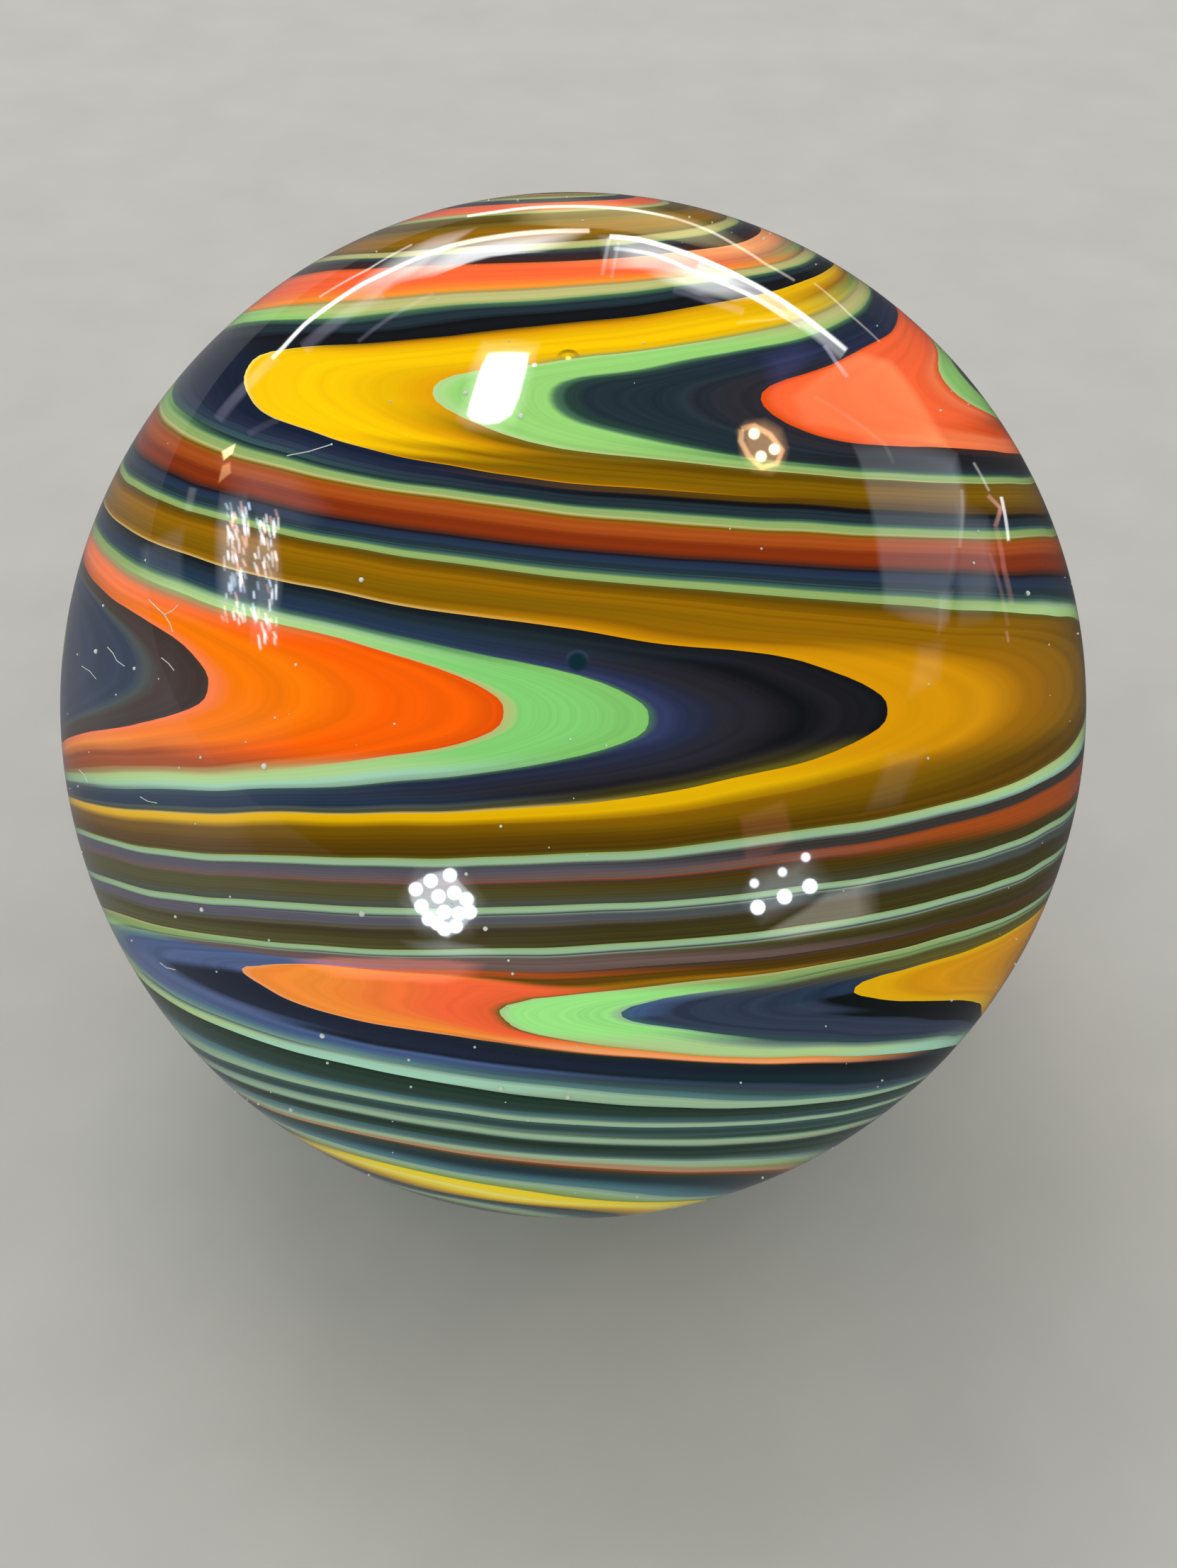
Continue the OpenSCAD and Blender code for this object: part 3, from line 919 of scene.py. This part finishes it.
def grown(name, tree, sockets, values, seed_mesh=None):
    """A plain mesh object grown by a geometry node tree from named values."""
    seed = add_object(f"{name}_seed", seed_mesh or bpy.data.meshes.new(f"{name}_seed"))
    modifier = seed.modifiers.new("Grow", "NODES")
    modifier.node_group = tree
    for title, value in values.items():
        modifier[sockets[title]] = value
    graph = bpy.context.evaluated_depsgraph_get()
    mesh = bpy.data.meshes.new_from_object(seed.evaluated_get(graph), depsgraph=graph)
    bpy.data.objects.remove(seed)
    if not mesh.polygons:
        raise RuntimeError(f"{name} came out empty")
    mesh.name = name
    return add_object(name, mesh)


def lay_out_sides(mesh):
    """A map that lays the six sides of the rounded cube side by side, three to a row."""
    layer = mesh.uv_layers.new(name="OFBake")
    for face in mesh.polygons:
        centre = face.center
        axis = max(range(3), key=lambda i: abs(centre[i]))
        column, row = axis, int(centre[axis] < 0)
        for corner in face.loop_indices:
            point = mesh.vertices[mesh.loops[corner].vertex_index].co
            turns = [math.atan(point[i] / abs(point[axis])) for i in range(3) if i != axis]
            flat = [turn / (math.pi / 2) + 0.5 for turn in turns]
            across, along = (MAP_MARGIN + (1 - 2 * MAP_MARGIN) * part for part in flat)
            layer.uv[corner].vector = ((column + across) / 3, (row + along) / 2)


class MARBLE_OT_ball(bpy.types.Operator):
    """Make the banded glass ball in place of its plain solid"""
    bl_idname = "marble.ball"
    bl_label = "Banded ball"

    def execute(self, context):
        scene = context.scene
        ball = scene.marble_ball
        material = banded_glass(ball, scene.marble_palette, scene.marble_stage)
        tree, sockets = ball_nodes(material)
        values = {"Diameter": ball.diameter, "Cells": ball.cells, "Wave height": ball.wave_height,
                  "Wave length": ball.wave_length}
        piece = grown("marble_ball", tree, sockets, values)
        lay_out_sides(piece.data)
        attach(piece, BODY)
        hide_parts("marble")
        return {"FINISHED"}


def dust_material(palette):
    """Pale matt dust, a little darker here and there."""
    material, tree, shader, place = new_material("dust")
    patchy = soft_noise(tree, place, DUST_MOTTLES, DUST_DETAIL)
    colour = blend_colours(tree, patchy, linear(palette.mist), linear(palette.pearl))
    tree.links.new(colour, shader.inputs["Base Color"])
    shader.inputs["Roughness"].default_value = DUST_ROUGHNESS
    return material


def speck_nodes(material):
    """A round speck of its own size on each point of a mesh."""
    tree, sockets, given, put = new_geometry_tree("Specks", [
        ("Points", "Geometry"), ("Largest", "Float"), ("Seed", "Int")])
    radius = calc(tree, "MULTIPLY", given["Largest"], 0.5)
    speck = add_node(tree, "GeometryNodeMeshIcoSphere", {"Radius": radius, "Subdivisions": SPECK_ROUNDING})
    inputs = {2: SMALLEST_SPECK, 3: 1.0, 8: given["Seed"]}
    share = add_node(tree, "FunctionNodeRandomValue", inputs, data_type="FLOAT")
    placed = add_node(tree, "GeometryNodeInstanceOnPoints", {
        "Points": given["Points"], "Instance": speck.outputs["Mesh"], "Scale": share.outputs[1]})
    finish_tree(tree, placed.outputs[0], material, put)
    return tree, sockets


def lint_nodes(material):
    """A fine round fibre along each run of edges of a mesh."""
    tree, sockets, given, put = new_geometry_tree("Lint", [("Runs", "Geometry"), ("Width", "Float")])
    runs = add_node(tree, "GeometryNodeMeshToCurve", {0: given["Runs"]}).outputs[0]
    radius = calc(tree, "MULTIPLY", given["Width"], 0.5)
    section = add_node(tree, "GeometryNodeCurvePrimitiveCircle", {
        "Resolution": FIBRE_SIDES, "Radius": radius}).outputs[0]
    fibre = add_node(tree, "GeometryNodeCurveToMesh", {
        "Curve": runs, "Profile Curve": section, "Fill Caps": True})
    finish_tree(tree, fibre.outputs[0], material, put)
    return tree, sockets


def point_mesh(name, points, edges=()):
    """A mesh of loose points, joined by any edges given."""
    mesh = bpy.data.meshes.new(name)
    mesh.from_pydata(points, edges, [])
    return mesh


class MARBLE_OT_dust(bpy.types.Operator):
    """Lay the specks and the lint on the ball"""
    bl_idname = "marble.dust"
    bl_label = "Dust and lint"

    def execute(self, context):
        scene = context.scene
        dust, stage = scene.marble_dust, scene.marble_stage
        material = dust_material(scene.marble_palette)
        tree, sockets = speck_nodes(material)
        chance = random.Random(dust.seed)
        fine = []
        for n in range(dust.specks):
            towards = Vector([chance.gauss(0.0, 1.0) for i in range(3)]).normalized()
            fine.append(BALL_CENTRE + BALL_RADIUS * towards)
        coarse = [seen_at(stage, pixel) for pixel in SPECKS]
        layers = {"fine_specks": (fine, dust.fine_size), "coarse_specks": (coarse, dust.coarse_size)}
        for name, (points, largest) in layers.items():
            values = {"Largest": largest, "Seed": dust.seed}
            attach(grown(name, tree, sockets, values, point_mesh(name, points)), BODY)

        points, edges = [], []
        for run in LINT:
            edges += [(len(points) + i, len(points) + i + 1) for i in range(len(run) - 1)]
            points += [seen_at(stage, pixel) for pixel in run]
        tree, sockets = lint_nodes(material)
        runs = point_mesh("lint", points, edges)
        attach(grown("lint", tree, sockets, {"Width": dust.lint_width}, runs), BODY)
        return {"FINISHED"}


def camera_axes(stage):
    """Where the camera stands, its right, up and back directions, and its focal length in pixels."""
    back = Vector((0.0, -math.cos(stage.camera_rise), math.sin(stage.camera_rise)))
    right = Vector((1.0, 0.0, 0.0))
    eye = BALL_CENTRE + back * BALL_RADIUS * stage.camera_distance
    focal = OUTLINE_RADIUS * math.sqrt(stage.camera_distance ** 2 - 1)
    return eye, right, back.cross(right), back, focal


def pixels_on_ball(stage, pixels):
    """The length on the front of the ball that takes up a number of the photograph's pixels."""
    focal = camera_axes(stage)[-1]
    return pixels / focal * BALL_RADIUS * (stage.camera_distance - 1)


def seen_at(stage, pixel):
    """The point of the ball that shows at a pixel of the photograph."""
    eye, right, up, back, focal = camera_axes(stage)
    aside = (pixel[0] - OUTLINE_CENTRE[0]) / focal
    above = (OUTLINE_CENTRE[1] - pixel[1]) / focal
    ray = (right * aside + up * above - back).normalized()
    to_centre = BALL_CENTRE - eye
    along = to_centre.dot(ray)
    gap = to_centre.length_squared - along ** 2
    if gap > BALL_RADIUS ** 2:
        raise RuntimeError(f"no ball at pixel {pixel}")
    return eye + ray * (along - math.sqrt(BALL_RADIUS ** 2 - gap))


def mirrored(stage, pixel):
    """The point of the ball at a pixel of the photograph, and the direction that it mirrors."""
    eye = camera_axes(stage)[0]
    point = seen_at(stage, pixel)
    normal = (point - BALL_CENTRE).normalized()
    view = (eye - point).normalized()
    return point, 2 * normal.dot(view) * normal - view


def mirror_point(stage, pixel, distance):
    """A point that the ball mirrors to a pixel of the photograph, kept above the floor."""
    point, towards = mirrored(stage, pixel)
    if towards.z < 0:
        distance = min(distance, SHARE_OF_WAY_TO_FLOOR * (point.z - BALL_LOW.z) / -towards.z)
    return point + towards * distance


class MirroredRoom:
    """Gathers glowing shapes, drawn where the ball mirrors them, into one mesh with glowing corners."""

    def __init__(self, stage):
        self.stage = stage
        self.corners, self.glows, self.faces = [], [], []

    def add_corner(self, pixel, glow, tint, distance):
        """A corner with its glow."""
        self.corners.append(mirror_point(self.stage, pixel, distance))
        self.glows.append((*(glow * part for part in TINTS[tint]), 1.0))
        return len(self.corners) - 1

    def add_patch(self, tint, glow, core, outline, distance):
        """A flat shape that is even as far out as its core, and fades from there to its outline."""
        middle = [sum(pixel[i] for pixel in outline) / len(outline) for i in range(2)]
        centre = self.add_corner(middle, glow, tint, distance)
        inner, outer = [], []
        for pixel in outline:
            near = [middle[i] + core * (pixel[i] - middle[i]) for i in range(2)]
            inner.append(self.add_corner(near, glow, tint, distance))
            outer.append(self.add_corner(pixel, 0.0, tint, distance))
        for i in range(len(outline)):
            j = (i + 1) % len(outline)
            self.faces.append((centre, inner[i], inner[j]))
            self.faces.append((inner[i], outer[i], outer[j], inner[j]))

    def add_strip(self, tint, glow, width, points, distance):
        """A thin shape along points, bright in the middle and faded at its edges and ends."""
        rows = []
        for i, (x, y) in enumerate(points):
            before, after = points[max(i - 1, 0)], points[min(i + 1, len(points) - 1)]
            long = math.hypot(after[0] - before[0], after[1] - before[1])
            aside = ((before[1] - after[1]) / long * width, (after[0] - before[0]) / long * width)
            bright = glow if 0 < i < len(points) - 1 else STRIP_END * glow
            row = []
            for share, part in STRIP_ACROSS:
                pixel = (x + share * aside[0], y + share * aside[1])
                row.append(self.add_corner(pixel, bright * part, tint, distance))
            rows.append(row)
        for first, second in zip(rows, rows[1:]):
            for k in range(len(STRIP_ACROSS) - 1):
                self.faces.append((first[k], first[k + 1], second[k + 1], second[k]))

    def add_lamp(self, tint, glow, radius, centre, distance):
        """A round lamp."""
        outline = []
        for i in range(LAMP_CORNERS):
            turn = 2 * math.pi * i / LAMP_CORNERS
            outline.append((centre[0] + radius * math.cos(turn), centre[1] + radius * math.sin(turn)))
        self.add_patch(tint, glow, LAMP_CORE, outline, distance)

    def build(self):
        """Makes the mesh, which only reflections show."""
        mesh = bpy.data.meshes.new("mirrored_room")
        mesh.from_pydata(self.corners, [], self.faces)
        layer = mesh.color_attributes.new("glow", "FLOAT_COLOR", "POINT")
        for item, glow in zip(layer.data, self.glows):
            item.color = glow
        material = bpy.data.materials.new("mirrored_room")
        material.use_nodes = True
        tree = material.node_tree
        tree.nodes.clear()
        glow = add_node(tree, "ShaderNodeAttribute", attribute_name="glow")
        lit = add_node(tree, "ShaderNodeEmission", {"Color": glow.outputs["Color"]})
        clear = add_node(tree, "ShaderNodeBsdfTransparent")
        both = add_node(tree, "ShaderNodeAddShader", {0: lit.outputs[0], 1: clear.outputs[0]})
        add_node(tree, "ShaderNodeOutputMaterial", {"Surface": both.outputs[0]})
        material.cycles.emission_sampling = "NONE"
        mesh.materials.append(material)
        made = add_object("mirrored_room", mesh)
        made.visible_camera = False
        made.visible_diffuse = False
        made.visible_shadow = False
        made.visible_transmission = False


def furnish(stage):
    """Sets up the lamps and pale surfaces that the ball mirrors."""
    room = MirroredRoom(stage)
    chance = random.Random(GLITTER_SEED)
    for tint, glow, core, outline in PATCHES:
        room.add_patch(tint, glow, core, outline, PATCH_DISTANCE)
    for tint, glow, width, points in STRIPS:
        room.add_strip(tint, glow, width, points, STRIP_DISTANCE)
    for tint, glow, radius, centres in LAMPS:
        for centre in centres:
            room.add_lamp(tint, glow, radius, centre, LAMP_DISTANCE)
    for first, last, spread, number in GLITTER:
        for i in range(number):
            along = chance.random()
            x = first[0] + along * (last[0] - first[0]) + chance.uniform(-spread, spread)
            y = first[1] + along * (last[1] - first[1]) + chance.uniform(-spread, spread) / 2
            lean, long = chance.uniform(*GLINT_LEAN), chance.uniform(*GLINT_LENGTH)
            tint = chance.choice(GLINT_TINTS)
            points = [(x - lean, y - long), (x, y), (x + lean, y + long)]
            room.add_strip(tint, chance.uniform(*GLINT_GLOW), GLINT_WIDTH, points, GLITTER_DISTANCE)
    room.build()


def add_soft_lamp(name, stage, pixel, distance, wide, strength, colour):
    """A large soft lamp in the direction that the ball mirrors at a pixel, itself not mirrored."""
    towards = mirrored(stage, pixel)[1]
    lamp = bpy.data.lights.new(name, "AREA")
    lamp.shape = "DISK"
    lamp.size = wide
    lamp.energy = strength * (2 * math.pi * distance) ** 2
    lamp.color = colour
    made = add_object(name, lamp)
    made.location = BALL_CENTRE + towards * distance
    made.rotation_mode = "QUATERNION"
    made.rotation_quaternion = towards.to_track_quat("Z", "Y")
    made.visible_camera = False
    made.visible_glossy = False


def floor_material(stage):
    """Plain pale matt floor with a faint mottle."""
    material, tree, shader, place = new_material("pale_floor")
    mottle = soft_noise(tree, place, FLOOR_MOTTLES, FLOOR_DETAIL)
    pale = linear(stage.floor_colour)
    shade = tuple(FLOOR_SHADE * part for part in pale[:3]) + (1.0,)
    tree.links.new(blend_colours(tree, mottle, shade, pale), shader.inputs["Base Color"])
    shader.inputs["Roughness"].default_value = FLOOR_ROUGHNESS
    shader.inputs["Specular IOR Level"].default_value = 0.0
    # Other rays see the floor glow: diffuse rays as bounce light, and glossy rays as a dimmer floor that
    # fades to the right into a painted shadow
    thrown = add_node(tree, "ShaderNodeEmission", {"Color": WHITE, "Strength": stage.bounce})
    aside = parts_of(tree, place)["X"]
    spread = stage.floor_spread
    dimmed = ranged(tree, aside, -spread, spread, stage.floor_left, stage.floor_right_shadowed)
    dim = add_node(tree, "ShaderNodeEmission", {"Color": WHITE, "Strength": dimmed})
    path = add_node(tree, "ShaderNodeLightPath")
    unseen = add_node(tree, "ShaderNodeMixShader", {
        0: path.outputs["Is Glossy Ray"], 1: thrown.outputs[0], 2: dim.outputs[0]})
    seen = add_node(tree, "ShaderNodeMixShader", {
        0: path.outputs["Is Camera Ray"], 1: unseen.outputs[0], 2: shader.outputs[0]})
    tree.links.new(seen.outputs[0], tree.nodes["Material Output"].inputs["Surface"])
    return material


def room_world(stage):
    """Even light from all round, which the ball mirrors as a dimmer room."""
    world = bpy.data.worlds.new("even_light")
    world.use_nodes = True
    tree = world.node_tree
    path = add_node(tree, "ShaderNodeLightPath")
    strength = blend(tree, path.outputs["Is Glossy Ray"], stage.sky, stage.room)
    background = tree.nodes["Background"]
    background.inputs["Color"].default_value = WHITE
    tree.links.new(strength, background.inputs["Strength"])
    return world


class MARBLE_OT_stage(bpy.types.Operator):
    """Set the floor, the lamps and the camera"""
    bl_idname = "marble.stage"
    bl_label = "Stage"

    def execute(self, context):
        scene = context.scene
        stage = scene.marble_stage
        scene.view_settings.view_transform = "Standard"
        eye, right, up, back, focal = camera_axes(stage)
        lens = bpy.data.cameras.new("camera")
        lens.lens = lens.sensor_width * focal / max(IMAGE_SIZE)
        lens.shift_x = (IMAGE_SIZE[0] / 2 - OUTLINE_CENTRE[0]) / max(IMAGE_SIZE)
        lens.shift_y = (OUTLINE_CENTRE[1] - IMAGE_SIZE[1] / 2) / max(IMAGE_SIZE)
        lens.clip_start, lens.clip_end = NEAREST, FARTHEST
        camera = add_object("camera", lens)
        turn = Matrix((right, up, back)).transposed().to_4x4()
        camera.matrix_world = Matrix.Translation(eye) @ turn
        scene.camera = camera

        half, low = FLOOR_HALF, BALL_LOW.z
        corners = [(-half, -half, low), (half, -half, low), (half, half, low), (-half, half, low)]
        mesh = bpy.data.meshes.new("floor")
        mesh.from_pydata(corners, [], [(0, 1, 2, 3)])
        mesh.materials.append(floor_material(stage))
        floor = add_object("floor", mesh)
        scene.world = room_world(stage)

        add_soft_lamp("key_lamp", stage, KEY_PIXEL, KEY_DISTANCE, KEY_WIDTH, stage.key, WHITE[:3])
        furnish(stage)
        return {"FINISHED"}


class MARBLE_PT_panel(bpy.types.Panel):
    """The marble's operators and settings"""
    bl_label = "Marble"
    bl_idname = "MARBLE_PT_panel"
    bl_space_type = "VIEW_3D"
    bl_region_type = "UI"
    bl_category = "Marble"

    def draw(self, context):
        for operator in OPERATORS:
            self.layout.operator(operator.bl_idname)
        for group in SETTINGS:
            settings = getattr(context.scene, group)
            box = self.layout.box()
            for name in settings.__annotations__:
                box.prop(settings, name)


SETTINGS = {"marble_ball": MarbleBall, "marble_palette": MarblePalette, "marble_dust": MarbleDust,
            "marble_stage": MarbleStage}
OPERATORS = (MARBLE_OT_stage, MARBLE_OT_ball, MARBLE_OT_dust)
CLASSES = (*SETTINGS.values(), *OPERATORS, MARBLE_PT_panel)


def register():
    """Adds the settings, the operators and the panel."""
    for each in CLASSES:
        bpy.utils.register_class(each)
    for name, group in SETTINGS.items():
        setattr(bpy.types.Scene, name, bpy.props.PointerProperty(type=group))


def unregister():
    """Takes the settings, the operators and the panel away again."""
    for name in SETTINGS:
        delattr(bpy.types.Scene, name)
    for each in reversed(CLASSES):
        bpy.utils.unregister_class(each)


def main():
    """Sets the stage and makes the pieces."""
    register()
    bpy.ops.marble.stage()
    bpy.ops.marble.ball()
    bpy.ops.marble.dust()


if __name__ == "__main__":
    main()
